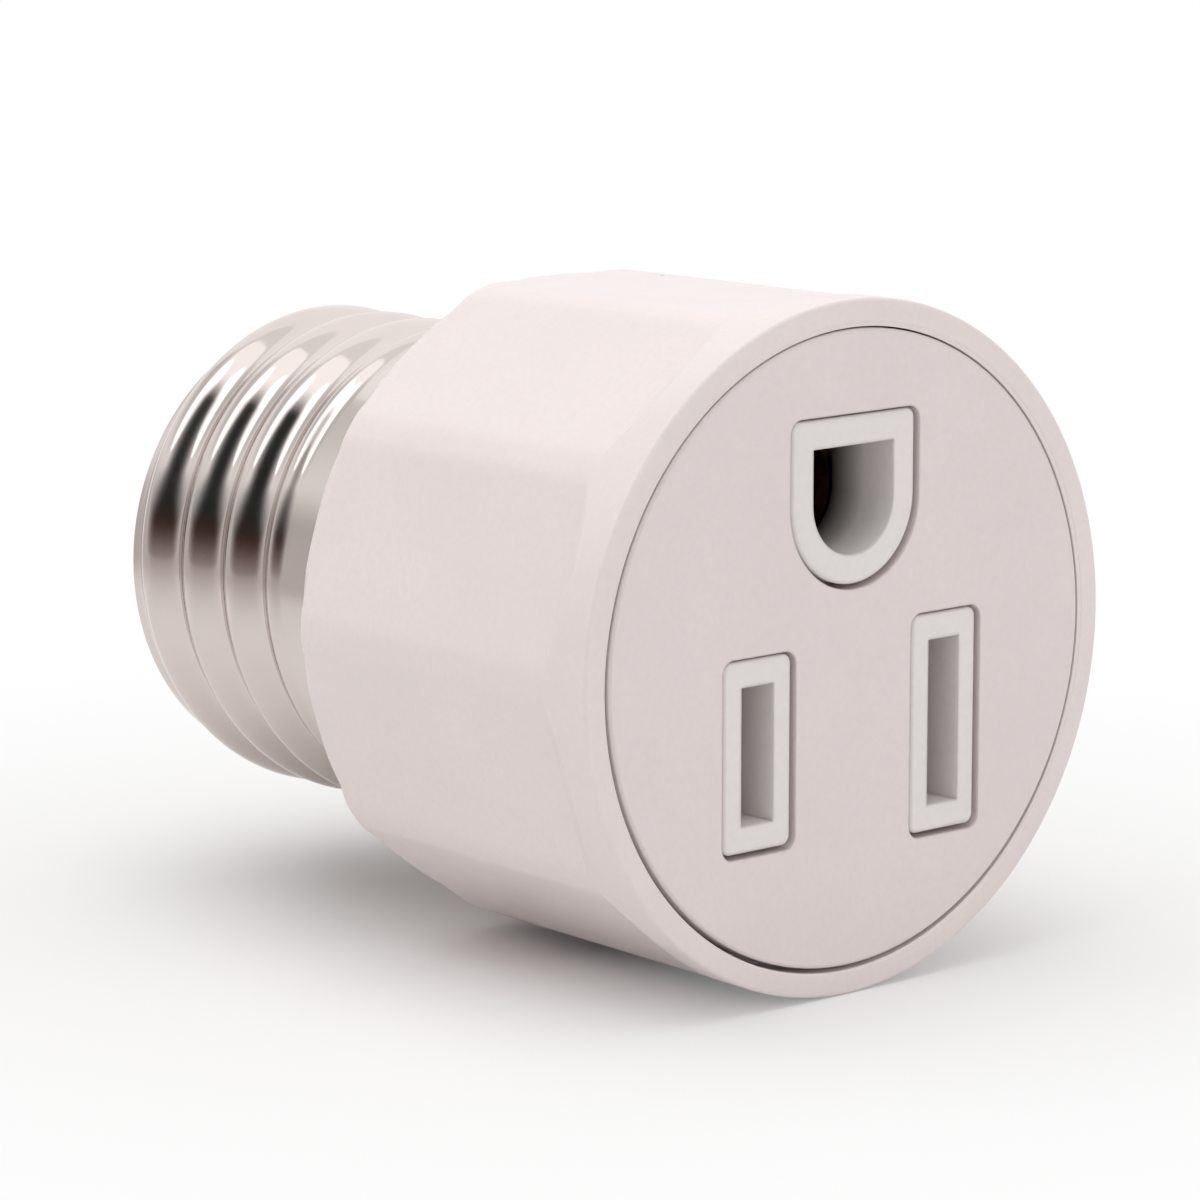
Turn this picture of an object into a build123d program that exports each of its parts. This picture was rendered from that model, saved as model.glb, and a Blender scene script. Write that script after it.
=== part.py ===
from build123d import *

import math
import os

# Lamp socket adapter: a screw lamp base that carries a ten-sided barrel with a three-hole outlet in its face.
# Lengths are in millimetres and angles in degrees. Every piece is drawn about the adapter's axis: x to the
# right on the outlet face, y up towards the ground hole, z out of the face, with depths counted behind it.
# The finished pieces are then laid down, with the face towards -Y, +Z up and the floor at z = 0.

# Outlet holes
slot_spacing = 12.7
slot_line_drop = 4.39
slot_width = 2.13
line_slot_height = 6.92
neutral_slot_height = 8.48
ground_rise = 11.89
ground_hole_radius = 2.72
ground_hole_flat = 2.76

# Collars round the holes, and the plate's windows round the collars
slot_wall_x = 1.17
slot_wall_y = 1.32
ground_wall = 1.45
collar_corner = 0.5
collar_edge_bevel = 0.12
window_gap = 0.2
window_shift_x = 0.13
window_shift_y = -0.09

# Contacts
leaf_thickness = 0.4
leaf_half_span = 1.75
leaf_height_margin = 0.5
leaf_bend = 0.6
mouth_half_gap = 1.2
pinch_half_gap = 0.5
pinch_depth = 2.4
shoulder_depth = 4.8
tail_width = 2.2
tail_length = 2.9
sleeve_inner_radius = 2.3
sleeve_flare = 0.35
sleeve_flare_length = 1.0
sleeve_slit_angle = 50.0

# Contact carrier
disc_thickness = 2.1
disc_clearance = 0.15
chamber_wall = 0.9
chamber_clearance = 0.15
key_width = 2.0
key_height = 0.8
key_clearance = 0.15

# Contact retainer
retainer_thickness = 1.2
retainer_clearance = 0.4
tail_clearance = 0.25

# Barrel
barrel_length = 22.8
barrel_wall = 2.83
barrel_draft = 0.32
cavity_clearance = 0.4
rear_wall = 1.6
flat_count = 10
land_angle = 4.3
flat_start_depth = 3.2
flat_runout = 1.2
flat_hollow = 0.06
flat_hollow_start = 0.6
front_bevel = 0.2
ring_wall = 1.23
plate_ledge = 0.95

# Face plate
plate_thickness = 2.3
plate_gap = 0.28
plate_edge_bevel = 0.12

# Screw shell
thread_crest_radius = 13.05
thread_depth = 0.8
thread_pitch = 3.63
thread_length = 13.2
thread_runout = 0.8
thread_sections = 5
thread_phase_depth = 0.15
thread_phase_angle = 180.0
band_length = 7.0
band_step = 0.1
sheet = 0.25
shell_end_length = 2.2
shell_end_turn = 2.0
shell_inner_bevel = 2.1
lip_radius = 9.6
shell_clearance = 0.1

# Neck and nose of the housing
neck_wall = 1.5
nose_length = 2.4
nose_wall = 1.8
nose_margin = 0.7
nose_root = 0.95
nose_clearance = 0.15

# Centre contact
rivet_head_radius = 4.7
rivet_head_height = 1.4
rivet_head_bevel = 0.9
rivet_radius = 1.7
rivet_flange_radius = 2.6
rivet_flange = 0.4
rivet_clearance = 0.05

# Wires
wire_radius = 0.95
wire_fit = 0.02
wire_start = 0.6
line_turn_depth = 2.6
line_axis_depth = 12.6
neutral_exit_depth = 4.7
wire_hole_clearance = 0.2

# Places and sizes that follow from the ones above
slot_x = slot_spacing / 2
ground_y = ground_rise - slot_line_drop
disc_front = plate_thickness
disc_rear = disc_front + disc_thickness
chamber_half_width = leaf_half_span + leaf_thickness / 2 + chamber_clearance + chamber_wall
sleeve_chamber_radius = sleeve_inner_radius + leaf_thickness + sleeve_flare + chamber_clearance
cavity_depth = barrel_length - rear_wall
chamber_rear = cavity_depth - retainer_thickness
tail_rear = cavity_depth + tail_length
wire_overrun = 2 * wire_radius


def slot_height(side):
    """Height of the blade slot on one side: -1 is line, 1 is neutral."""
    return line_slot_height if side < 0 else neutral_slot_height


def leaf_height(side):
    """Height of the contact leaves behind one slot."""
    return slot_height(side) - leaf_height_margin


def chamber_half_height(side):
    """Half of the outer height of one contact chamber."""
    return leaf_height(side) / 2 + chamber_clearance + chamber_wall


# The barrel is sized round the corner of the larger contact chamber
chamber_reach = math.hypot(slot_x + chamber_half_width, slot_line_drop + chamber_half_height(1))
cavity_radius = chamber_reach + cavity_clearance
flat_half_angle = (360 / flat_count - land_angle) / 2
flat_share = math.cos(math.radians(flat_half_angle))
ring_radius = (cavity_radius + barrel_wall) / flat_share + barrel_draft
ring_inner_radius = ring_radius - ring_wall
disc_seat_radius = ring_inner_radius - plate_ledge
disc_radius = disc_seat_radius - disc_clearance
plate_radius = ring_inner_radius - plate_gap

# The screw shell stands against the rear wall and turns in over the nose
thread_start = barrel_length + band_length
thread_end = thread_start + thread_length
shell_rear = thread_end + shell_end_length
thread_root_radius = thread_crest_radius - thread_depth
thread_mid_radius = thread_crest_radius - thread_depth / 2
band_radius = thread_root_radius + band_step
neck_radius = thread_root_radius - sheet - shell_clearance
neck_bore_radius = neck_radius - neck_wall
shell_bevel_front = shell_rear - sheet - shell_inner_bevel
neck_end = shell_bevel_front - shell_clearance
nose_radius = lip_radius - nose_clearance
nose_tip_radius = rivet_head_radius + nose_margin
nose_hollow_radius = min(neck_bore_radius, nose_radius + nose_root)
nose_end = shell_rear + nose_length
nose_floor = nose_end - nose_wall
flange_front = nose_floor - rivet_flange
total_length = nose_end + rivet_head_height


def barrel_radius(depth):
    """Radius of the round barrel, which narrows a little towards the rear."""
    return ring_radius - barrel_draft * depth / barrel_length


def turned(points):
    """Solid turned about the axis from a closed outline of (radius, depth) points, without repeated ones."""
    apart = [point for point, before in zip(points, [points[-1], *points]) if math.dist(point, before) > 1e-6]
    outline = Polyline(*[(radius, 0, -depth) for radius, depth in apart], close=True)
    return revolve(make_face(outline), axis=Axis.Z)


def slab(sketch, front, rear):
    """A sketch on the face plane, made into a slab between two depths."""
    return Pos(0, 0, -rear) * extrude(sketch, amount=rear - front)


def disc(radius, front, rear):
    """Plain round slab between two depths."""
    return slab(Circle(radius), front, rear)


def turned_edge(solid, radius, depth):
    """The circular edge of the given radius at the given depth."""
    return solid.edges().filter_by(GeomType.CIRCLE).filter_by(
        lambda edge: abs(edge.radius - radius) < 1e-3 and abs(edge.center().Z + depth) < 1e-3
    )


def slot_place(side):
    """Centre of one blade slot."""
    return Pos(side * slot_x, -slot_line_drop)


def ground_outline(radius, flat):
    """U-shaped outline of the ground hole: a half round below its centre and a flat top above."""
    below = Circle(radius) & Pos(0, -radius) * Rectangle(2 * radius, 2 * radius)
    above = Pos(0, flat / 2) * Rectangle(2 * radius, flat)
    return Pos(0, ground_y) * (below + above)


def hole_outlines():
    """The three plug holes."""
    slots = [slot_place(side) * Rectangle(slot_width, slot_height(side)) for side in (-1, 1)]
    return [*slots, ground_outline(ground_hole_radius, ground_hole_flat)]


def collar_outlines(grow=0.0):
    """The outsides of the three collars, grown by a gap where the plate's windows take them."""
    corner = collar_corner + grow
    width = slot_width + 2 * (slot_wall_x + grow)
    extra = 2 * (slot_wall_y + grow)
    slots = [slot_place(side) * RectangleRounded(width, slot_height(side) + extra, corner) for side in (-1, 1)]
    ground = ground_outline(ground_hole_radius + ground_wall + grow, ground_hole_flat + ground_wall + grow)
    return [*slots, fillet(ground.vertices().group_by(Axis.Y)[-1], corner)]


def flat_cutter():
    """Wedge that planes one flat along the barrel and leaves a ramp where the flat runs out below the ring."""
    ramp_depth = flat_start_depth - flat_runout
    beyond = barrel_length + rear_wall
    outside = 2 * ring_radius
    start = Vector(barrel_radius(flat_start_depth) * flat_share, 0, -flat_start_depth)
    ramp_top = Vector(barrel_radius(ramp_depth), 0, -ramp_depth)
    ramp_beyond = start + (ramp_top - start) * 2
    end = Vector(barrel_radius(beyond) * flat_share, 0, -beyond)
    outline = Polyline(start, ramp_beyond, (outside, 0, ramp_beyond.Z), (outside, 0, -beyond), end, close=True)
    half_width = ring_radius * math.sin(math.pi / flat_count)
    return extrude(make_face(outline), amount=half_width, dir=(0, 1, 0), both=True)


def hollow_cutter():
    """Shallow pyramid that sinks the middle of one flat a little, most at its rear edge."""
    front = flat_start_depth + flat_hollow_start
    beyond = barrel_length + rear_wall
    half_width = ring_radius * math.sin(math.pi / flat_count)
    above = flat_hollow / 30
    places = [(front, -half_width), (front, half_width), (beyond, half_width), (beyond, -half_width)]
    corners = [Vector(barrel_radius(depth) * flat_share + above, side, -depth) for depth, side in places]
    bottom = Vector(barrel_radius(beyond) * flat_share - flat_hollow, 0, -beyond)
    return ConvexPolyhedron([*corners, bottom])


def neutral_wire_hole():
    """Hole through the neck's wall where the neutral wire meets the shell."""
    inner, outer = neutral_wire_points()[-2:]
    reach = outer - inner
    place = Plane(origin=inner, z_dir=reach)
    return place * extrude(Circle(wire_radius + wire_hole_clearance), amount=reach.length)


def make_housing():
    """Barrel, ring, rear wall, neck and nose in one moulding, hollow from the front."""
    outside = turned([
        (0, 0),
        (ring_radius, 0),
        (barrel_radius(barrel_length), barrel_length),
        (neck_radius, barrel_length),
        (neck_radius, neck_end),
        (nose_radius, neck_end),
        (nose_radius, shell_rear),
        (nose_tip_radius, nose_end),
        (0, nose_end),
    ])
    outside = chamfer(turned_edge(outside, ring_radius, 0), front_bevel)
    for place in PolarLocations(0, flat_count, start_angle=90):
        outside -= place * flat_cutter()
        outside -= place * hollow_cutter()
    inside = turned([
        (0, 0),
        (ring_inner_radius, 0),
        (ring_inner_radius, disc_front),
        (disc_seat_radius, disc_front),
        (disc_seat_radius, disc_rear),
        (cavity_radius, disc_rear),
        (cavity_radius, cavity_depth),
        (neck_bore_radius, cavity_depth),
        (neck_bore_radius, neck_end - neck_wall),
        (nose_hollow_radius, neck_end - neck_wall),
        (rivet_flange_radius + nose_wall, nose_floor),
        (0, nose_floor),
    ])
    key = Pos(0, -disc_seat_radius) * Rectangle(key_width, 2 * key_height)
    inside -= slab(key, disc_front, disc_rear)
    rivet_hole = disc(rivet_radius + rivet_clearance, nose_floor, nose_end)
    return outside - inside - rivet_hole - neutral_wire_hole()


def make_face_plate():
    """Disc flush with the ring, with three windows that the collars fill."""
    plate = disc(plate_radius, 0, plate_thickness)
    plate = chamfer(turned_edge(plate, plate_radius, 0), plate_edge_bevel)
    for outline in collar_outlines(window_gap):
        plate -= slab(Pos(window_shift_x, window_shift_y) * outline, 0, plate_thickness)
    return plate


def make_contact_carrier():
    """Disc with three collars in front and the contact chambers behind."""
    carrier = disc(disc_radius, disc_front, disc_rear)
    notch_width = key_width + 2 * key_clearance
    notch_height = 2 * (key_height + key_clearance)
    carrier -= slab(Pos(0, -disc_seat_radius) * Rectangle(notch_width, notch_height), disc_front, disc_rear)
    for outline in collar_outlines():
        collar = slab(outline, 0, disc_front)
        carrier += chamfer(collar.edges().group_by(Axis.Z)[-1], collar_edge_bevel)
    pockets = []
    for side in (-1, 1):
        height = 2 * chamber_half_height(side)
        place = slot_place(side)
        carrier += slab(place * Rectangle(2 * chamber_half_width, height), disc_rear, chamber_rear)
        inner_width = 2 * (chamber_half_width - chamber_wall)
        pockets.append(place * Rectangle(inner_width, height - 2 * chamber_wall))
    carrier += slab(Pos(0, ground_y) * Circle(sleeve_chamber_radius + chamber_wall), disc_rear, chamber_rear)
    pockets.append(Pos(0, ground_y) * Circle(sleeve_chamber_radius))
    for pocket in pockets:
        carrier -= slab(pocket, disc_rear, chamber_rear)
    for outline in hole_outlines():
        carrier -= slab(outline, 0, disc_rear)
    return carrier


def make_contact_retainer():
    """Plate clamped between the chambers and the rear wall, open to the contact tails and the ground pin."""
    retainer = disc(cavity_radius - retainer_clearance, chamber_rear, cavity_depth)
    retainer -= slab(Pos(0, ground_y) * Circle(sleeve_inner_radius), chamber_rear, cavity_depth)
    for side in (-1, 1):
        tail = Rectangle(leaf_thickness + 2 * tail_clearance, tail_width + 2 * tail_clearance)
        retainer -= slab(slot_place(side) * tail, chamber_rear, cavity_depth)
    return retainer


def make_leaf_contact(side):
    """Brass strip folded into two leaves that pinch a blade, with a tail through the retainer."""
    pinch = pinch_half_gap + leaf_thickness / 2
    half = [
        (mouth_half_gap, -(disc_rear + chamber_clearance)),
        (pinch, -(disc_rear + pinch_depth)),
        (leaf_half_span, -(disc_rear + shoulder_depth)),
        (leaf_half_span, -(chamber_rear - leaf_thickness / 2)),
    ]
    mirrored = [(-x, z) for x, z in reversed(half)]
    strip = trace(FilletPolyline(*half, *mirrored, radius=leaf_bend), leaf_thickness)
    contact = extrude(Plane.XZ * strip, amount=leaf_height(side) / 2, both=True)
    contact += slab(Rectangle(leaf_thickness, tail_width), chamber_rear - leaf_thickness / 2, tail_rear)
    return slot_place(side) * contact


def make_ground_contact():
    """Split brass sleeve with a flared mouth, standing on the retainer."""
    mouth = disc_rear + chamber_clearance
    throat = mouth + sleeve_flare_length
    outer = sleeve_inner_radius + leaf_thickness
    points = [
        (sleeve_inner_radius + sleeve_flare, mouth),
        (outer + sleeve_flare, mouth),
        (outer, throat),
        (outer, chamber_rear),
        (sleeve_inner_radius, chamber_rear),
        (sleeve_inner_radius, throat),
    ]
    outline = Polyline(*[(radius, 0, -depth) for radius, depth in points], close=True)
    sleeve = revolve(make_face(outline), axis=Axis.Z, revolution_arc=360 - sleeve_slit_angle)
    return Pos(0, ground_y) * Rot(0, 0, 90 + sleeve_slit_angle / 2) * sleeve


def make_thread():
    """Single-start thread: a loft through circles whose centres wind round the axis once for each pitch."""
    rod_front = thread_start - thread_runout
    rod_length = thread_length + 2 * thread_runout
    count = math.ceil(thread_sections * rod_length / thread_pitch)
    sections = []
    for index in range(count + 1):
        depth = rod_front + rod_length * index / count
        turns = (thread_start + thread_phase_depth - depth) / thread_pitch
        centre = Vector(thread_depth / 2, 0, -depth).rotate(Axis.Z, thread_phase_angle + 360 * turns)
        sections.append(Pos(centre) * Circle(thread_mid_radius))
    front_rise = 2 * (thread_crest_radius - band_radius)
    rear_rise = 2 * (thread_crest_radius - thread_root_radius)
    envelope = turned([
        (0, thread_start),
        (band_radius, thread_start),
        (band_radius + front_rise, thread_start + 2 * thread_runout),
        (thread_root_radius + rear_rise, thread_end - 2 * thread_runout),
        (thread_root_radius, thread_end),
        (0, thread_end),
    ])
    return loft(sections, ruled=True) & envelope


def make_screw_shell():
    """Shell with a plain band, a thread that runs out at both ends, and an end that turns in over the nose."""
    band = disc(band_radius, barrel_length, thread_start)
    end = turned([
        (0, thread_end),
        (thread_root_radius, thread_end),
        (thread_root_radius - shell_end_turn, shell_rear),
        (0, shell_rear),
    ])
    inner_radius = thread_root_radius - sheet
    inner_turn = shell_end_turn * shell_inner_bevel / shell_end_length
    inside = turned([
        (0, barrel_length),
        (inner_radius, barrel_length),
        (inner_radius, shell_bevel_front),
        (inner_radius - inner_turn, shell_rear - sheet),
        (0, shell_rear - sheet),
    ])
    return band + make_thread() + end - inside - disc(lip_radius, thread_end, shell_rear)


def make_center_contact():
    """Rivet through the nose: bevelled head outside, and a flange inside for the line wire."""
    head = disc(rivet_head_radius, nose_end, total_length)
    head = chamfer(turned_edge(head, rivet_head_radius, total_length), rivet_head_bevel)
    return head + disc(rivet_radius, nose_floor, nose_end) + disc(rivet_flange_radius, flange_front, nose_floor)


def tail_point(side):
    """Start of a wire, laid along the inner face of a contact's tail."""
    offset = leaf_thickness / 2 + wire_radius + wire_fit
    return Vector(side * (slot_x - offset), -slot_line_drop, -(cavity_depth + wire_start))


def line_wire_points():
    """Route of the line wire: back from its tail, in to the axis, and along it to the rivet's flange."""
    start = tail_point(-1)
    turn = Vector(start.X, start.Y, -(barrel_length + line_turn_depth))
    on_axis = Vector(0, 0, -(barrel_length + line_axis_depth))
    return [start, turn, on_axis, Vector(0, 0, -(flange_front - wire_fit))]


def neutral_wire_points():
    """Route of the neutral wire: back from its tail, then straight out to the inside of the shell."""
    start = tail_point(1)
    turn = Vector(start.X, start.Y, -(barrel_length + neutral_exit_depth))
    outward = Vector(start.X, start.Y, 0).normalized()
    end = outward * (thread_root_radius - sheet - wire_fit)
    return [start, turn, Vector(end.X, end.Y, turn.Z)]


def make_wire(points):
    """Plain round wire along straight runs that meet in mitres."""
    headings = [(after - before).normalized() for before, after in zip(points, points[1:])]
    cuts = [Plane(corner, z_dir=a + b) for corner, a, b in zip(points[1:-1], headings, headings[1:])]
    wire = Part()
    for index, heading in enumerate(headings):
        start = points[index] - heading * (wire_overrun if index > 0 else 0)
        end = points[index + 1] + heading * (wire_overrun if index < len(cuts) else 0)
        run = extrude(Plane(start, z_dir=heading) * Circle(wire_radius), amount=(end - start).length, dir=heading)
        if index > 0:
            run = split(run, bisect_by=cuts[index - 1], keep=Keep.TOP)
        if index < len(cuts):
            run = split(run, bisect_by=cuts[index], keep=Keep.BOTTOM)
        wire += run
    return wire


def make_pieces():
    """All pieces, by name."""
    return {
        "housing": make_housing(),
        "face_plate": make_face_plate(),
        "contact_carrier": make_contact_carrier(),
        "contact_retainer": make_contact_retainer(),
        "line_contact": make_leaf_contact(-1),
        "neutral_contact": make_leaf_contact(1),
        "ground_contact": make_ground_contact(),
        "screw_shell": make_screw_shell(),
        "center_contact": make_center_contact(),
        "line_wire": make_wire(line_wire_points()),
        "neutral_wire": make_wire(neutral_wire_points()),
    }


laid_down = Pos(0, -total_length / 2, ring_radius) * Rot(90, 0, 0)
os.makedirs("parts", exist_ok=True)
for name, piece in make_pieces().items():
    export_step(laid_down * piece, f"parts/{name}.step")
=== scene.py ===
import math

import bmesh
import bpy
from mathutils import Matrix, Vector


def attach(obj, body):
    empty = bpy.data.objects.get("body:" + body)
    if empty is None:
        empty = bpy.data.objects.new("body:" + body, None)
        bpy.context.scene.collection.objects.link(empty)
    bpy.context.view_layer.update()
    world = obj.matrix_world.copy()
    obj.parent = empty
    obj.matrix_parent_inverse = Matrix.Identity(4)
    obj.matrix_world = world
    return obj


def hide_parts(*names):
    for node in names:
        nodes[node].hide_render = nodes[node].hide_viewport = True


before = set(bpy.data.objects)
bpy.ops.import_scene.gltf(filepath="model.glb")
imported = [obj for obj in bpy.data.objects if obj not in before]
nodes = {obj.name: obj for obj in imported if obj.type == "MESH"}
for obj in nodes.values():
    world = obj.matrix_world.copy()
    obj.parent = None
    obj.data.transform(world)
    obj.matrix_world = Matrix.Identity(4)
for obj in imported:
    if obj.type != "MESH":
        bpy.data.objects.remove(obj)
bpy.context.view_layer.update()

# Camera, fitted to the photograph: its place and clip in metres, lens and sensor in millimetres
CAMERA_EYE = Vector((-0.18002, -0.21118, 0.06804))
CAMERA_RIGHT = Vector((0.75232, -0.65879, 0.0))
CAMERA_UP = Vector((0.12015, 0.13715, 0.98324))
CAMERA_LENS = 160.5
SENSOR = 36.0
CAMERA_CLIP = 0.01

# Sizes of the turned pieces in millimetres; depths count from the outlet face
MM = 0.001
HALF_LENGTH = 24.5
TOTAL_LENGTH = 49.0
RING_RADIUS = 17.482
RING_EASE = 0.012
RING_FRONT_ROUND = 0.24
RING_INNER_RADIUS = 16.252
RING_INNER_ROUND = 0.12
BARREL_LENGTH = 22.8
BARREL_DRAFT = 0.32
FLAT_COUNT = 10
FLAT_SHARE = 0.96198
FLAT_START = 3.2
FLAT_RUNOUT = 1.2
FLAT_MARGIN = 0.2
FLAT_SOFTNESS = 0.03
REAR_BEVEL = 0.64
REAR_ROUND = 0.1
REAR_MARGIN = 1.0
PLATE_DEPTH = 2.3
DISC_SEAT_RADIUS = 15.302
DISC_REAR = 4.4
CAVITY_RADIUS = 13.68
CAVITY_DEPTH = 21.2
NECK_RADIUS = 11.9
NECK_BORE_RADIUS = 10.4
NECK_END = 42.75
NECK_WALL = 1.5
NOSE_RADIUS = 9.45
NOSE_FLOOR = 45.8
NOSE_END = 47.6
NOSE_TIP_RADIUS = 5.4
NOSE_ROUND = 0.3
RIVET_HOLE_RADIUS = 1.75
RIVET_RADIUS = 1.7
RIVET_HEAD_RADIUS = 4.7
RIVET_FLANGE_RADIUS = 2.6
RIVET_FLANGE_FRONT = 45.4
RIVET_EDGE_DROP = 0.9
RIVET_CROWN_RADIUS = 3.2
RIVET_CROWN_DROP = 0.1
DIMPLE_RIM_RADIUS = 1.7
DIMPLE_RADIUS = 1.0
DIMPLE_DROP = 0.2
DIMPLE_DEPTH = 0.25
BAND_RADIUS = 12.55
THREAD_MID_RADIUS = 12.65
THREAD_HALF_DEPTH = 0.4
THREAD_PITCH = 3.63
THREAD_CREST_DEPTH = 29.92
THREAD_START = 29.6
THREAD_FULL = 31.0
THREAD_FADE = 42.0
THREAD_END = 43.0
SHELL_END_RADIUS = 12.25
SHELL_END_TURN = 2.0
SHELL_REAR = 45.2
SHELL_BEVEL = 2.1
SHELL_ROUND = 0.3
SHELL_INNER_RADIUS = 12.0
SHELL_INNER_ROUND = 0.2
LIP_RADIUS = 9.6
LIP_ROUND = 0.12
SHEET = 0.25

# Gap round the plate: by how many millimetres it narrows, and towards which side
GROOVE_SHIFT = 0.2
GROOVE_TURN = math.radians(50)

# Slack in millimetres for telling rows of an outline apart
TINY = 1e-6
RING_SLACK = 0.01
SHELL_SLACK = 0.05

# Columns round the turned pieces, the angle of a sharp edge, and the lengths in metres that count as none
HOUSING_COLUMNS = 400
SHELL_COLUMNS = 300
RIVET_COLUMNS = 96
SHARP_ANGLE = math.radians(32)
MERGE_LENGTH = 1e-7
NO_LENGTH = 1e-8

# Colours, as linear values
BARREL_WHITE = (0.815, 0.727, 0.713)
PLATE_WHITE = (0.795, 0.707, 0.697)
COLLAR_WHITE = (0.81, 0.762, 0.745)
RETAINER_WHITE = (0.70, 0.68, 0.66)
# Painted shade: the colour the holes' walls darken to with depth
HOLE_PAINTED_SHADE = (0.055, 0.045, 0.035)
SPECK = (0.22, 0.17, 0.14)
SHELL_METAL = (0.69, 0.618, 0.588)
# Contact brass made dark: partly tarnish, partly painted shade of the holes the contacts sit in
TARNISHED_SHADED_BRASS = (0.14, 0.075, 0.036)
TIP_BRASS = (0.76, 0.58, 0.31)
WIRE_BLACK = (0.035, 0.035, 0.035)
WIRE_WHITE = (0.72, 0.71, 0.69)
FLOOR = (0.85, 0.84, 0.835)
FLAG_LOW = (0.10, 0.035, 0.028)
FLAG_HIGH = (0.030, 0.034, 0.031)

# Noise in the materials, as features in each metre, and the depth of their relief in metres
MOTTLE_SCALE = 120.0
FLECK_SCALE = 3200.0
SPECK_SCALE = 260.0
GLOSS_SCALE = 420.0
LINE_SCALE = 900.0
TONE_SCALE = 160.0
FLOOR_SCALE = 6.0
PLASTIC_RELIEF = 0.00004
METAL_RELIEF = 0.00002

# Factors on a colour for its variation, the flecks' strength, a speck's size in cell widths, and refraction
MOTTLE_DARK = 0.98
MOTTLE_LIGHT = 1.015
FLECK_DARK = 0.93
TONE_DARK = 0.95
FLOOR_DARK = 0.995
FLECK_STRENGTH = 0.45
SPECK_SIZE = 0.035
PLASTIC_IOR = 1.5

# Soft edges of the plate and the collars, and the depths between which painted shade darkens the holes, in
# metres
SOFT_EDGE = 0.0002
LIP_EDGE = 0.0003
HOLE_SHADE_START = 0.0021
HOLE_SHADE_END = 0.0044

# Light from all sides, and the floor: its size and the distances over which it turns white, in metres
AMBIENT = 0.65
FLOOR_SIZE = 6.0
FLOOR_NEAR = 0.01
FLOOR_FAR = 0.07
FLOOR_ROUGHNESS = 0.9
FLOOR_SPECULAR = 0.1

# Dark flag in metres: its distance, the height it is seen from, its lift, and where brown turns black
FLAG_RADIUS = 0.5
FLAG_EYE = 0.0175
FLAG_LIFT = 0.0008
FLAG_BROWN = 0.04
FLAG_BLACK = 0.19

# Reach of the flag in whole degrees: azimuth from +Y towards +X, and elevation
FLAG_FIRST = -176
FLAG_LAST = 20
FLAG_BOTTOM = -28
FLAG_TOP = 88
FLAG_STEP = 2

# Smallest angle below the horizon in radians, for the flag's part on the floor
LEAST_DIP = 0.001

# Dark cover on the camera's side in degrees: its edge leans and sharpens as it climbs, and fades up and down
CLIMB_FROM = 15
CLIMB_TO = 35
SIDE_EDGE = -42
SIDE_LEAN = 2.4
SIDE_LEAN_ABOVE = 0.2
SIDE_SOFT = 50
SIDE_SHARPEN = 0.08
SIDE_TOP = (78, 64)
SIDE_BOTTOM = (-27, 16)

# Fainter cover along the horizon and behind: its share, and the degrees over which each side fades in
HORIZON_SHARE = 0.42
HORIZON_RIGHT = (16, -6)
HORIZON_TOP = (16, 7)
HORIZON_BOTTOM = (-15, -6)
BEHIND_SHARE = 0.28
BEHIND_LEFT = (-70, -40)
BEHIND_RIGHT = (8, -8)
BEHIND_BOTTOM = (26, 48)
BEHIND_TOP = (80, 56)

# Lamps: name, place and size in metres, power in watts, and whether metal mirrors them
MIDDLE = Vector((0, 0, 0.0175))
LAMPS = (
    ("softbox", (-0.13, 0.06, 0.60), 0.7, 2.3, False),
    ("front_fill", (0.16, -0.80, 0.30), 0.5, 0.62, True),
)

# Lamps that add only gloss: name, direction in degrees, form, width and height in metres, power in watts
SHEENS = (
    ("left_sheen", (-76, 62), "ELLIPSE", 0.24, 0.44, 0.25),
    ("top_sheen", (-105, 82), "DISK", 0.3, 0.3, 0.085),
    ("rear_sheen", (40, 48), "DISK", 0.6, 0.6, 0.155),
)
SHEEN_DISTANCE = 1.1


def new_material(name):
    """A fresh node material with its Principled shader, and the object's own coordinates in metres."""
    material = bpy.data.materials.new(name)
    material.use_nodes = True
    tree = material.node_tree
    shader = tree.nodes["Principled BSDF"]
    coords = tree.nodes.new("ShaderNodeTexCoord")
    return material, tree, shader, coords.outputs["Object"]


def noise(tree, coords, scale, detail=3.0, stretch=None):
    """Noise value; the scale counts features in each metre, and stretch scales the axes first."""
    if stretch:
        mapping = tree.nodes.new("ShaderNodeMapping")
        mapping.inputs["Scale"].default_value = stretch
        tree.links.new(coords, mapping.inputs["Vector"])
        coords = mapping.outputs["Vector"]
    node = tree.nodes.new("ShaderNodeTexNoise")
    node.inputs["Scale"].default_value = scale
    node.inputs["Detail"].default_value = detail
    tree.links.new(coords, node.inputs["Vector"])
    return node.outputs["Fac"]


def ranged(tree, value, low, high, start=0.3, end=0.7):
    """The value between start and end, spread from low to high."""
    node = tree.nodes.new("ShaderNodeMapRange")
    node.inputs["From Min"].default_value = start
    node.inputs["From Max"].default_value = end
    node.inputs["To Min"].default_value = low
    node.inputs["To Max"].default_value = high
    tree.links.new(value, node.inputs["Value"])
    return node.outputs["Result"]


def joined(tree, operation, first, second):
    """Two values put through one math operation; the second may be a plain number."""
    node = tree.nodes.new("ShaderNodeMath")
    node.operation = operation
    tree.links.new(first, node.inputs[0])
    if isinstance(second, float):
        node.inputs[1].default_value = second
    else:
        tree.links.new(second, node.inputs[1])
    return node.outputs["Value"]


def mixed(tree, factor, first, second):
    """Two colours mixed by a factor; either colour may be a socket."""
    node = tree.nodes.new("ShaderNodeMix")
    node.data_type = "RGBA"
    tree.links.new(factor, node.inputs["Factor"])
    for socket, colour in ((node.inputs["A"], first), (node.inputs["B"], second)):
        if isinstance(colour, tuple):
            socket.default_value = (*colour, 1.0)
        else:
            tree.links.new(colour, socket)
    return node.outputs["Result"]


def shade(colour, factor):
    """A colour made lighter or darker."""
    return tuple(min(1.0, channel * factor) for channel in colour)


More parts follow.
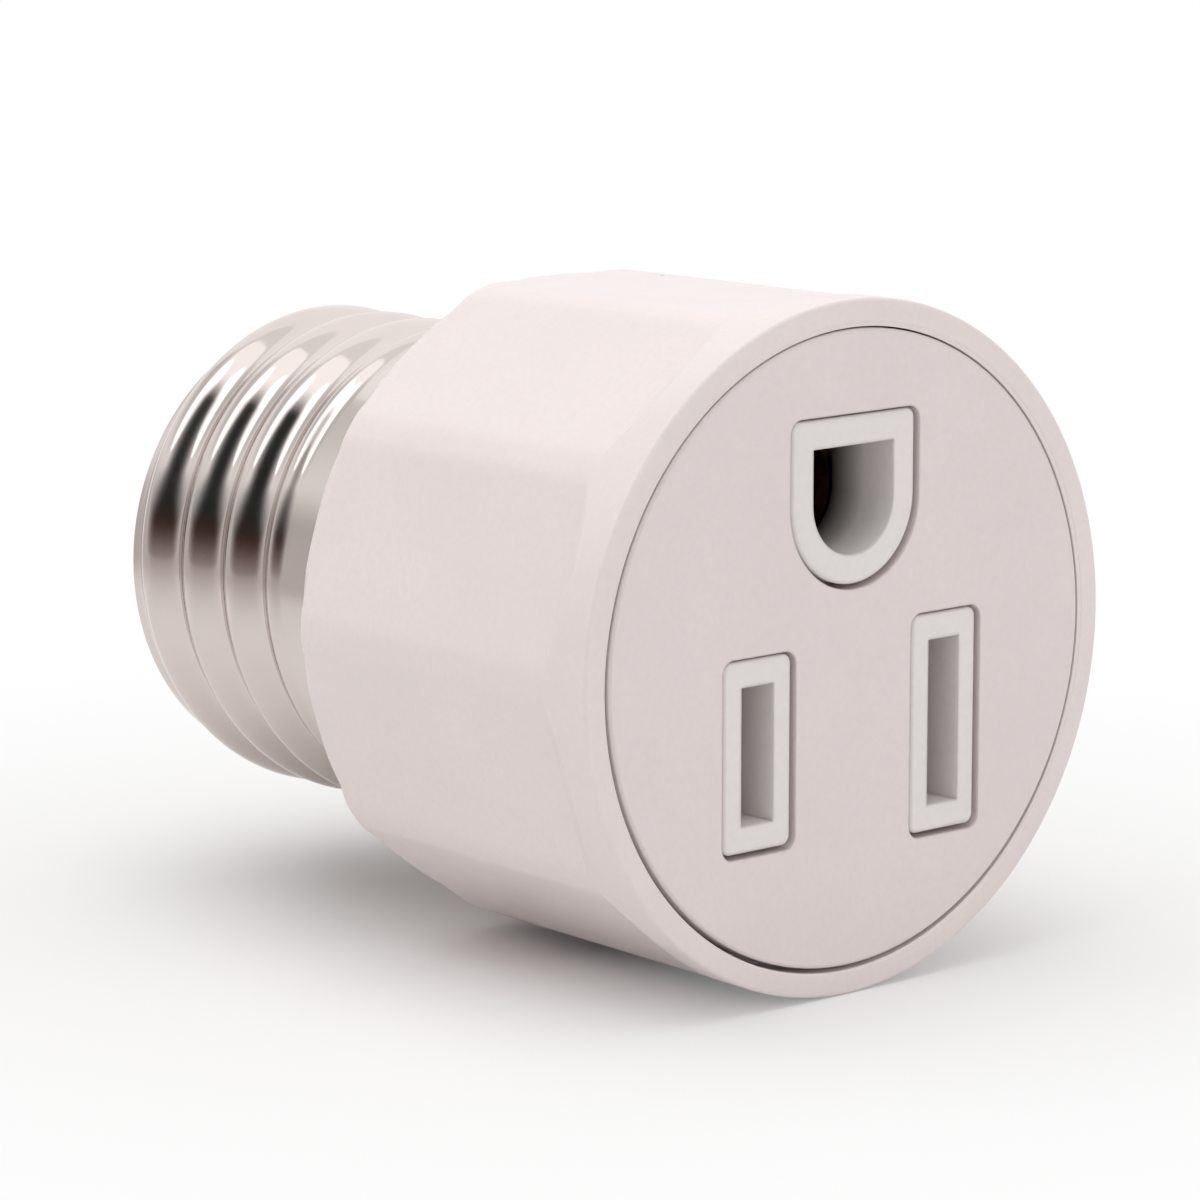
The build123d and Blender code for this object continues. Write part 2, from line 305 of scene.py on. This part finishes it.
def bumped(tree, shader, height, strength, distance, edge=0.0):
    """Relief on the shader from a height value, over edges softened to a small radius in metres."""
    node = tree.nodes.new("ShaderNodeBump")
    if edge:
        soft = tree.nodes.new("ShaderNodeBevel")
        soft.inputs["Radius"].default_value = edge
        tree.links.new(soft.outputs["Normal"], node.inputs["Normal"])
    node.inputs["Strength"].default_value = strength
    node.inputs["Distance"].default_value = distance
    tree.links.new(height, node.inputs["Height"])
    tree.links.new(node.outputs["Normal"], shader.inputs["Normal"])


def specks(tree, coords, scale, size, share):
    """Mask of small round specks: a share of the cells, each with a dot of the given size in cell widths."""
    dots = tree.nodes.new("ShaderNodeTexVoronoi")
    dots.inputs["Scale"].default_value = scale
    tree.links.new(coords, dots.inputs["Vector"])
    near = joined(tree, "LESS_THAN", dots.outputs["Distance"], size)
    split = tree.nodes.new("ShaderNodeSeparateColor")
    tree.links.new(dots.outputs["Color"], split.inputs["Color"])
    chosen = joined(tree, "LESS_THAN", split.outputs["Red"], share)
    return joined(tree, "MULTIPLY", near, chosen)


def plastic(name, colour, roughness, spread, grain, relief, speck_share, edge=0.0, front=None):
    """Moulded plastic: mottling, fine grain, uneven gloss, a few specks, and painted shade deep in its holes
    behind its front.
    """
    material, tree, shader, coords = new_material(name)
    mottle = ranged(tree, noise(tree, coords, MOTTLE_SCALE, detail=4.0), 0.0, 1.0)
    base = mixed(tree, mottle, shade(colour, MOTTLE_DARK), shade(colour, MOTTLE_LIGHT))
    flecks = ranged(tree, noise(tree, coords, FLECK_SCALE, detail=2.0), 0.0, 1.0)
    base = mixed(tree, joined(tree, "MULTIPLY", flecks, FLECK_STRENGTH), base, shade(colour, FLECK_DARK))
    base = mixed(tree, specks(tree, coords, SPECK_SCALE, SPECK_SIZE, speck_share), base, SPECK)
    # Painted shade: behind the front plane the colour darkens with depth, standing in for shade inside the
    # holes
    if front is not None:
        split = tree.nodes.new("ShaderNodeSeparateXYZ")
        tree.links.new(coords, split.inputs["Vector"])
        painted_shade = ranged(tree, split.outputs["Y"], 0.0, 1.0, front + HOLE_SHADE_START, front + HOLE_SHADE_END)
        base = mixed(tree, painted_shade, base, HOLE_PAINTED_SHADE)
    tree.links.new(base, shader.inputs["Base Color"])
    gloss = ranged(tree, noise(tree, coords, GLOSS_SCALE), roughness - spread, roughness + spread)
    tree.links.new(gloss, shader.inputs["Roughness"])
    shader.inputs["IOR"].default_value = PLASTIC_IOR
    bumped(tree, shader, noise(tree, coords, grain, detail=2.0), relief, PLASTIC_RELIEF, edge)
    return material


def metal(name, colour, roughness, spread, stretch, relief):
    """Bright metal: uneven polish, faint working lines along the stretch, and slight colour change."""
    material, tree, shader, coords = new_material(name)
    lines = noise(tree, coords, LINE_SCALE, stretch=stretch)
    tone = ranged(tree, noise(tree, coords, TONE_SCALE), 0.0, 1.0)
    tree.links.new(mixed(tree, tone, shade(colour, TONE_DARK), colour), shader.inputs["Base Color"])
    tree.links.new(ranged(tree, lines, roughness - spread, roughness + spread), shader.inputs["Roughness"])
    shader.inputs["Metallic"].default_value = 1.0
    bumped(tree, shader, lines, relief, METAL_RELIEF)
    return material


def give(material, *names):
    """Put one material on CAD nodes."""
    for name in names:
        mesh = nodes[name].data
        mesh.materials.clear()
        mesh.materials.append(material)


def eased(start, end, value):
    """Smooth step from 0 at start to 1 at end."""
    share = min(1.0, max(0.0, (value - start) / (end - start)))
    return share * share * (3 - 2 * share)


def rounded(corners, steps):
    """Outline with rounded corners; each corner is (radius, depth, size of its round)."""
    outline = []
    for index, (radius, depth, size) in enumerate(corners):
        corner = Vector((radius, depth))
        if size == 0:
            outline.append(corner)
            continue
        before = Vector(corners[index - 1][:2])
        after = Vector(corners[(index + 1) % len(corners)][:2])
        first = corner + (before - corner).normalized() * size
        last = corner + (after - corner).normalized() * size
        for step in range(steps + 1):
            share = step / steps
            outline.append(first * (1 - share) ** 2 + corner * 2 * share * (1 - share) + last * share ** 2)
    return outline


def divided(outline, first, last, count):
    """The outline with the stretch between two of its depths cut into equal rows."""
    rows = []
    for start, end in zip(outline, outline[1:] + outline[:1]):
        rows.append(start)
        if abs(start.y - first) < TINY and abs(end.y - last) < TINY:
            rows.extend(start.lerp(end, step / count) for step in range(1, count))
    return rows


def add_turned(name, rows, columns, shape, material):
    """Piece turned about the axis from a closed outline of rows; shape gives each point's radius."""
    mesh = bpy.data.meshes.new(name)
    work = bmesh.new()
    rings = []
    for row in rows:
        ring = []
        for column in range(columns):
            angle = 2 * math.pi * column / columns
            radius = shape(row.x, row.y, angle)
            place = (radius * math.cos(angle), row.y - HALF_LENGTH, radius * math.sin(angle) + RING_RADIUS)
            ring.append(work.verts.new(Vector(place) * MM))
        rings.append(ring)
    for ring, following in zip(rings, rings[1:] + rings[:1]):
        for column in range(columns):
            beside = (column + 1) % columns
            work.faces.new((ring[column], ring[beside], following[beside], following[column]))
    bmesh.ops.remove_doubles(work, verts=work.verts, dist=MERGE_LENGTH)
    bmesh.ops.dissolve_degenerate(work, edges=work.edges, dist=NO_LENGTH)
    bmesh.ops.recalc_face_normals(work, faces=work.faces)
    for face in work.faces:
        face.smooth = True
    work.to_mesh(mesh)
    work.free()
    mesh.set_sharp_from_angle(angle=SHARP_ANGLE)
    mesh.materials.append(material)
    piece = bpy.data.objects.new(name, mesh)
    bpy.context.scene.collection.objects.link(piece)
    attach(piece, "root")
    return piece


def round_shape(radius, depth, angle):
    """Plain turned form."""
    return radius


def barrel_radius(depth):
    """Radius of the round barrel inside the solid's facets, which narrows a little towards the rear."""
    return RING_RADIUS - RING_EASE - BARREL_DRAFT * depth / BARREL_LENGTH


def flat_reach(depth):
    """Distance of the flats from the axis, with the ramps where they run out below the ring."""
    if depth >= FLAT_START:
        return barrel_radius(depth) * FLAT_SHARE
    ramp = (FLAT_START - depth) / FLAT_RUNOUT
    start = barrel_radius(FLAT_START) * FLAT_SHARE
    return start + (barrel_radius(FLAT_START - FLAT_RUNOUT) - start) * ramp


def barrel_shape(radius, depth, angle):
    """Round barrel planed to flats, with slightly soft edges between them and an uneven gap in the ring."""
    inside = radius < RING_INNER_RADIUS + RING_SLACK
    if inside and depth < PLATE_DEPTH:
        widening = (1 - math.cos(angle - GROOVE_TURN)) / 2
        return radius - GROOVE_SHIFT * (1 - widening ** 2)
    if inside or depth > BARREL_LENGTH + TINY:
        return radius
    step = 2 * math.pi / FLAT_COUNT
    from_flat = (angle - math.pi / 2 + step / 2) % step - step / 2
    planed = flat_reach(depth) / math.cos(from_flat)
    lower = min(radius, planed)
    spread = math.exp((lower - radius) / FLAT_SOFTNESS) + math.exp((lower - planed) / FLAT_SOFTNESS)
    return lower - FLAT_SOFTNESS * math.log(spread)


def shell_shape(radius, depth, angle):
    """Rolled thread between the plain band and the turned-in end."""
    if radius < SHELL_END_RADIUS - SHELL_SLACK or depth > THREAD_END:
        return radius
    turn = 2 * math.pi * (THREAD_CREST_DEPTH - depth) / THREAD_PITCH
    thread = THREAD_MID_RADIUS + THREAD_HALF_DEPTH * math.cos(angle - math.pi - turn)
    rise = eased(THREAD_START, THREAD_FULL, depth)
    fall = eased(THREAD_FADE, THREAD_END, depth)
    return (BAND_RADIUS * (1 - rise) + thread * rise) * (1 - fall) + SHELL_END_RADIUS * fall


def add_housing(material):
    """Barrel with its ring, rear wall, neck and nose."""
    rear_radius = barrel_radius(BARREL_LENGTH)
    ramp_front = FLAT_START - FLAT_RUNOUT
    ramp_rear = FLAT_START + FLAT_MARGIN
    flat_rear = BARREL_LENGTH - REAR_MARGIN
    outline = rounded([
        (RING_INNER_RADIUS, 0, RING_INNER_ROUND),
        (barrel_radius(0), 0, RING_FRONT_ROUND),
        (barrel_radius(ramp_front), ramp_front, 0),
        (barrel_radius(ramp_rear), ramp_rear, 0),
        (barrel_radius(flat_rear), flat_rear, 0),
        (rear_radius, BARREL_LENGTH - REAR_BEVEL, REAR_ROUND),
        (rear_radius - REAR_BEVEL, BARREL_LENGTH, REAR_ROUND),
        (NECK_RADIUS, BARREL_LENGTH, 0),
        (NECK_RADIUS, NECK_END, 0),
        (NOSE_RADIUS, NECK_END, 0),
        (NOSE_RADIUS, SHELL_REAR, NOSE_ROUND),
        (NOSE_TIP_RADIUS, NOSE_END, NOSE_ROUND),
        (RIVET_HOLE_RADIUS, NOSE_END, 0),
        (RIVET_HOLE_RADIUS, NOSE_FLOOR, 0),
        (NECK_BORE_RADIUS, NECK_END - NECK_WALL, 0),
        (NECK_BORE_RADIUS, CAVITY_DEPTH, 0),
        (CAVITY_RADIUS, CAVITY_DEPTH, 0),
        (CAVITY_RADIUS, DISC_REAR, 0),
        (DISC_SEAT_RADIUS, DISC_REAR, 0),
        (DISC_SEAT_RADIUS, PLATE_DEPTH, 0),
        (RING_INNER_RADIUS, PLATE_DEPTH, 0),
    ], steps=7)
    rows = divided(outline, ramp_front, ramp_rear, count=20)
    rows = divided(rows, ramp_rear, flat_rear, count=8)
    piece = add_turned("housing_look", rows, HOUSING_COLUMNS, barrel_shape, material)
    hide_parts("housing")


def add_screw_shell(material):
    """Thin shell with its thread and the end that turns in over the nose."""
    outline = rounded([
        (BAND_RADIUS, BARREL_LENGTH, 0),
        (BAND_RADIUS, THREAD_START, 0),
        (SHELL_END_RADIUS, THREAD_END, 0),
        (SHELL_END_RADIUS - SHELL_END_TURN, SHELL_REAR, SHELL_ROUND),
        (LIP_RADIUS, SHELL_REAR, LIP_ROUND),
        (LIP_RADIUS, SHELL_REAR - SHEET, LIP_ROUND),
        (SHELL_INNER_RADIUS - SHELL_BEVEL, SHELL_REAR - SHEET, SHELL_INNER_ROUND),
        (SHELL_INNER_RADIUS, SHELL_REAR - SHEET - SHELL_BEVEL, SHELL_ROUND),
        (SHELL_INNER_RADIUS, BARREL_LENGTH, 0),
    ], steps=8)
    rows = divided(outline, BARREL_LENGTH, THREAD_START, count=12)
    rows = divided(rows, THREAD_START, THREAD_END, count=150)
    piece = add_turned("screw_shell_look", rows, SHELL_COLUMNS, shell_shape, material)
    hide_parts("screw_shell")


def add_center_contact(material):
    """Rivet with a domed head and a dimple where it was set."""
    outline = rounded([
        (0, TOTAL_LENGTH - DIMPLE_DEPTH, 0),
        (DIMPLE_RADIUS, TOTAL_LENGTH - DIMPLE_DROP, 0.4),
        (DIMPLE_RIM_RADIUS, TOTAL_LENGTH, 0.5),
        (RIVET_CROWN_RADIUS, TOTAL_LENGTH - RIVET_CROWN_DROP, 0.8),
        (RIVET_HEAD_RADIUS, TOTAL_LENGTH - RIVET_EDGE_DROP, 0.6),
        (RIVET_HEAD_RADIUS, NOSE_END, 0.2),
        (RIVET_RADIUS, NOSE_END, 0),
        (RIVET_RADIUS, NOSE_FLOOR, 0),
        (RIVET_FLANGE_RADIUS, NOSE_FLOOR, 0),
        (RIVET_FLANGE_RADIUS, RIVET_FLANGE_FRONT, 0),
        (0, RIVET_FLANGE_FRONT, 0),
    ], steps=6)
    piece = add_turned("center_contact_look", outline, RIVET_COLUMNS, round_shape, material)
    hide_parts("center_contact")


def seen_or_mirrored(tree):
    """Mask of the rays that show the background: from the camera, in reflections and through glass."""
    path = tree.nodes.new("ShaderNodeLightPath")
    seen = path.outputs["Is Camera Ray"]
    for ray in ("Is Glossy Ray", "Is Transmission Ray"):
        seen = joined(tree, "MAXIMUM", seen, path.outputs[ray])
    return seen


def floor_material():
    """Pale floor that keeps the object's shadow and turns white further off."""
    material, tree, shader, coords = new_material("floor")
    tone = ranged(tree, noise(tree, coords, FLOOR_SCALE, detail=2.0), 0.0, 1.0)
    tree.links.new(mixed(tree, tone, shade(FLOOR, FLOOR_DARK), FLOOR), shader.inputs["Base Color"])
    shader.inputs["Roughness"].default_value = FLOOR_ROUGHNESS
    shader.inputs["Specular IOR Level"].default_value = FLOOR_SPECULAR
    reach = tree.nodes.new("ShaderNodeVectorMath")
    reach.operation = "LENGTH"
    tree.links.new(coords, reach.inputs[0])
    far = ranged(tree, reach.outputs["Value"], 0.0, 1.0, FLOOR_NEAR, FLOOR_FAR)
    white = tree.nodes.new("ShaderNodeEmission")
    white.inputs["Color"].default_value = (1.0, 1.0, 1.0, 1.0)
    blend = tree.nodes.new("ShaderNodeMixShader")
    tree.links.new(joined(tree, "MULTIPLY", far, seen_or_mirrored(tree)), blend.inputs["Fac"])
    tree.links.new(shader.outputs["BSDF"], blend.inputs[1])
    tree.links.new(white.outputs["Emission"], blend.inputs[2])
    output = tree.nodes["Material Output"]
    tree.links.new(blend.outputs["Shader"], output.inputs["Surface"])
    return material


def add_floor():
    """Square floor under the object."""
    half = FLOOR_SIZE / 2
    corners = [(-half, -half, 0), (half, -half, 0), (half, half, 0), (-half, half, 0)]
    mesh = bpy.data.meshes.new("floor")
    mesh.from_pydata(corners, [], [(0, 1, 2, 3)])
    mesh.materials.append(floor_material())
    floor = bpy.data.objects.new("floor", mesh)
    bpy.context.scene.collection.objects.link(floor)


def dark_cover(azimuth, elevation):
    """How dark the flag is in one direction: on the camera's side, along the horizon and behind."""
    climb = min(max(elevation, CLIMB_FROM), CLIMB_TO) - CLIMB_FROM
    edge = SIDE_EDGE - SIDE_LEAN * climb - SIDE_LEAN_ABOVE * max(0, elevation - CLIMB_TO)
    soft = SIDE_SOFT - SIDE_SHARPEN * climb ** 2
    camera_side = eased(edge + soft, edge - soft, azimuth)
    camera_side *= eased(*SIDE_TOP, elevation) * eased(*SIDE_BOTTOM, elevation)
    horizon = HORIZON_SHARE * eased(*HORIZON_RIGHT, azimuth)
    horizon *= eased(*HORIZON_TOP, elevation) * eased(*HORIZON_BOTTOM, elevation)
    behind = BEHIND_SHARE * eased(*BEHIND_LEFT, azimuth) * eased(*BEHIND_RIGHT, azimuth)
    behind *= eased(*BEHIND_BOTTOM, elevation) * eased(*BEHIND_TOP, elevation)
    return max(camera_side, horizon, behind)


def flag_material():
    """Dark cloth that covers only in part, brown below and nearly black above."""
    material, tree, shader, coords = new_material("flag")
    split = tree.nodes.new("ShaderNodeSeparateXYZ")
    tree.links.new(coords, split.inputs["Vector"])
    high = ranged(tree, split.outputs["Z"], 0.0, 1.0, FLAG_BROWN, FLAG_BLACK)
    tree.links.new(mixed(tree, high, FLAG_LOW, FLAG_HIGH), shader.inputs["Base Color"])
    shader.inputs["Roughness"].default_value = 1.0
    shader.inputs["Specular IOR Level"].default_value = 0.0
    cover = tree.nodes.new("ShaderNodeAttribute")
    cover.attribute_name = "cover"
    tree.links.new(cover.outputs["Fac"], shader.inputs["Alpha"])
    return material


def flag_place(azimuth, elevation):
    """Point of the flag in one direction from the object: on a dome, or on the floor below the horizon."""
    turn = math.radians(azimuth)
    rise = math.radians(elevation)
    reach = FLAG_RADIUS * math.cos(rise)
    height = FLAG_RADIUS * math.sin(rise)
    if elevation <= 0:
        reach = min(FLAG_RADIUS, FLAG_EYE / math.tan(max(-rise, LEAST_DIP)))
        height = FLAG_LIFT
    return Vector((reach * math.sin(turn), reach * math.cos(turn), height))


def add_flag():
    """Curved dark flag round one side of the object, which only polished surfaces mirror."""
    mesh = bpy.data.meshes.new("flag")
    azimuths = range(FLAG_FIRST, FLAG_LAST + 1, FLAG_STEP)
    elevations = range(FLAG_BOTTOM, FLAG_TOP + 1, FLAG_STEP)
    width = len(azimuths)
    corners = [flag_place(azimuth, elevation) for elevation in elevations for azimuth in azimuths]
    cover = [dark_cover(azimuth, elevation) for elevation in elevations for azimuth in azimuths]
    faces = []
    for row in range(len(elevations) - 1):
        for column in range(width - 1):
            corner = row * width + column
            faces.append((corner, corner + 1, corner + width + 1, corner + width))
    mesh.from_pydata(corners, [], faces)
    layer = mesh.attributes.new("cover", "FLOAT", "POINT")
    layer.data.foreach_set("value", cover)
    mesh.materials.append(flag_material())
    flag = bpy.data.objects.new("flag", mesh)
    flag.visible_camera = False
    flag.visible_diffuse = False
    flag.visible_shadow = False
    bpy.context.scene.collection.objects.link(flag)


def add_lamp(name, place, size, power):
    """A soft square lamp aimed at the middle of the object."""
    lamp = bpy.data.lights.new(name, "AREA")
    lamp.size = size
    lamp.energy = power
    holder = bpy.data.objects.new(name, lamp)
    holder.location = place
    holder.rotation_mode = "QUATERNION"
    holder.rotation_quaternion = (MIDDLE - Vector(place)).to_track_quat("-Z", "Y")
    bpy.context.scene.collection.objects.link(holder)
    return holder


def add_sheen(name, direction, form, width, height, power):
    """A weak lamp just outside the flag's dome, which adds gloss and no other light."""
    holder = add_lamp(name, flag_place(*direction) * SHEEN_DISTANCE, width, power)
    holder.data.shape = form
    holder.data.size_y = height
    holder.visible_diffuse = False


def set_world():
    """White to the camera and in reflections; a softer level for the light on the object."""
    world = bpy.data.worlds.new("studio")
    bpy.context.scene.world = world
    world.use_nodes = True
    tree = world.node_tree
    background = tree.nodes["Background"]
    background.inputs["Color"].default_value = (1.0, 1.0, 1.0, 1.0)
    strength = ranged(tree, seen_or_mirrored(tree), AMBIENT, 1.0, 0.0, 1.0)
    tree.links.new(strength, background.inputs["Strength"])


def add_camera():
    """The photograph's camera."""
    camera = bpy.data.cameras.new("camera")
    camera.lens = CAMERA_LENS
    camera.sensor_width = SENSOR
    camera.clip_start = CAMERA_CLIP
    holder = bpy.data.objects.new("camera", camera)
    toward = CAMERA_RIGHT.cross(CAMERA_UP)
    turn = Matrix((CAMERA_RIGHT, CAMERA_UP, toward)).transposed().to_4x4()
    holder.matrix_world = Matrix.Translation(CAMERA_EYE) @ turn
    bpy.context.scene.collection.objects.link(holder)
    bpy.context.scene.camera = holder


# Outside pieces
barrel_plastic = plastic(
    "barrel_plastic", BARREL_WHITE,
    roughness=0.32, spread=0.04, grain=900.0, relief=0.09, speck_share=0.07,
)
add_housing(barrel_plastic)
shell_metal = metal(
    "shell_metal", SHELL_METAL,
    roughness=0.08, spread=0.025, stretch=(1.0, 0.12, 1.0), relief=0.04,
)
add_screw_shell(shell_metal)
tip_brass = metal(
    "tip_brass", TIP_BRASS,
    roughness=0.26, spread=0.08, stretch=(1.0, 1.0, 1.0), relief=0.1,
)
add_center_contact(tip_brass)
plate_plastic = plastic(
    "plate_plastic", PLATE_WHITE,
    roughness=0.52, spread=0.05, grain=2600.0, relief=0.12, speck_share=0.06, edge=SOFT_EDGE,
)
give(plate_plastic, "face_plate")
# Front plane of the carrier, behind which its holes get painted shade
carrier_front = min(corner.co.y for corner in nodes["contact_carrier"].data.vertices)
carrier_plastic = plastic(
    "carrier_plastic", COLLAR_WHITE,
    roughness=0.45, spread=0.05, grain=2200.0, relief=0.08, speck_share=0.02, edge=LIP_EDGE,
    front=carrier_front,
)
give(carrier_plastic, "contact_carrier")

# Inside pieces
retainer_plastic = plastic(
    "retainer_plastic", RETAINER_WHITE,
    roughness=0.5, spread=0.05, grain=2200.0, relief=0.08, speck_share=0.02,
)
give(retainer_plastic, "contact_retainer")
# Darkened brass on the inner contacts: partly tarnish, partly painted shade
contact_brass = metal(
    "contact_brass", TARNISHED_SHADED_BRASS,
    roughness=0.3, spread=0.08, stretch=(1.0, 0.1, 1.0), relief=0.1,
)
give(contact_brass, "line_contact", "neutral_contact", "ground_contact")
wires = (("line_wire", "wire_black", WIRE_BLACK), ("neutral_wire", "wire_white", WIRE_WHITE))
for wire, name, colour in wires:
    insulation = plastic(name, colour, roughness=0.5, spread=0.08, grain=1500.0, relief=0.1, speck_share=0.0)
    give(insulation, wire)

# Stage, lamps and camera
set_world()
add_floor()
add_flag()
for name, place, size, power, mirrored in LAMPS:
    add_lamp(name, place, size, power).visible_glossy = mirrored
for sheen in SHEENS:
    add_sheen(*sheen)
add_camera()
bpy.context.scene.view_settings.view_transform = "Standard"

# Bring the scene up to date
bpy.context.view_layer.update()
